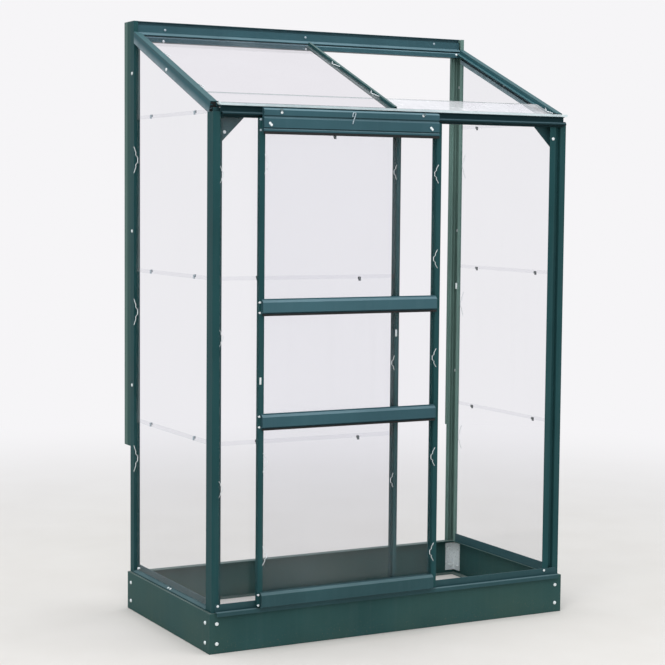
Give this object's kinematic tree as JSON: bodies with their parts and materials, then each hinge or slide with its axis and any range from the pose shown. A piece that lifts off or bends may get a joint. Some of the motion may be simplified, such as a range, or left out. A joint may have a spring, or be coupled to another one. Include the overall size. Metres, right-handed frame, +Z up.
{
  "type": "lean-to greenhouse",
  "caption": "small wall-side lean-to greenhouse of painted aluminium sections on a base plinth, with lapped glass panes, a sloping glass roof and a sliding door on rollers",
  "frame": {"origin": "on the ground, under the middle of the bounding box", "axes": "+Z up, +X to the right along the front, +Y towards the wall that the house leans on"},
  "size_m": [1.32, 0.779, 1.996],
  "materials": {
    "frame_paint": "weathered grey-green paint on aluminium, satin",
    "base_paint": "weathered grey-green paint on sheet metal, satin",
    "batten_paint": "painted boards, matt",
    "glass": "clear horticultural glass, slightly dusty",
    "zinc": "zinc plated steel",
    "nylon": "dull nylon"
  },
  "bodies": {
    "frame": {"base_front": "base_paint", "base_back": "base_paint", "base_left": "base_paint", "base_right": "base_paint", "base_brackets": "zinc", "sill_front": "frame_paint", "sill_left": "frame_paint", "sill_right": "frame_paint", "corner_post_left": "frame_paint", "corner_post_right": "frame_paint", "door_jamb": "frame_paint", "wall_post_left": "frame_paint", "wall_post_right": "frame_paint", "batten_left": "batten_paint", "batten_right": "batten_paint", "front_bar": "frame_paint", "eave_bar": "frame_paint", "ridge_bar": "frame_paint", "rafter_left": "frame_paint", "rafter_middle": "frame_paint", "rafter_right": "frame_paint", "gusset_left": "frame_paint", "gusset_right": "frame_paint", "gable_glass_left": "glass", "gable_glass_right": "glass", "front_glass": "glass", "roof_glass_left": "glass", "roof_glass_right": "glass"},
    "door": {"door_top_rail": "frame_paint", "door_middle_rail": "frame_paint", "door_lower_rail": "frame_paint", "door_bottom_rail": "frame_paint", "door_stile_left": "frame_paint", "door_stile_right": "frame_paint", "door_glass": "glass", "door_rollers": "zinc", "door_glides": "nylon"}
  },
  "joints": [
    {"name": "door_slide", "type": "slide", "parent": "frame", "child": "door", "axis": [1, 0, 0], "range_m": [-0.135, 0.488]}
  ]
}
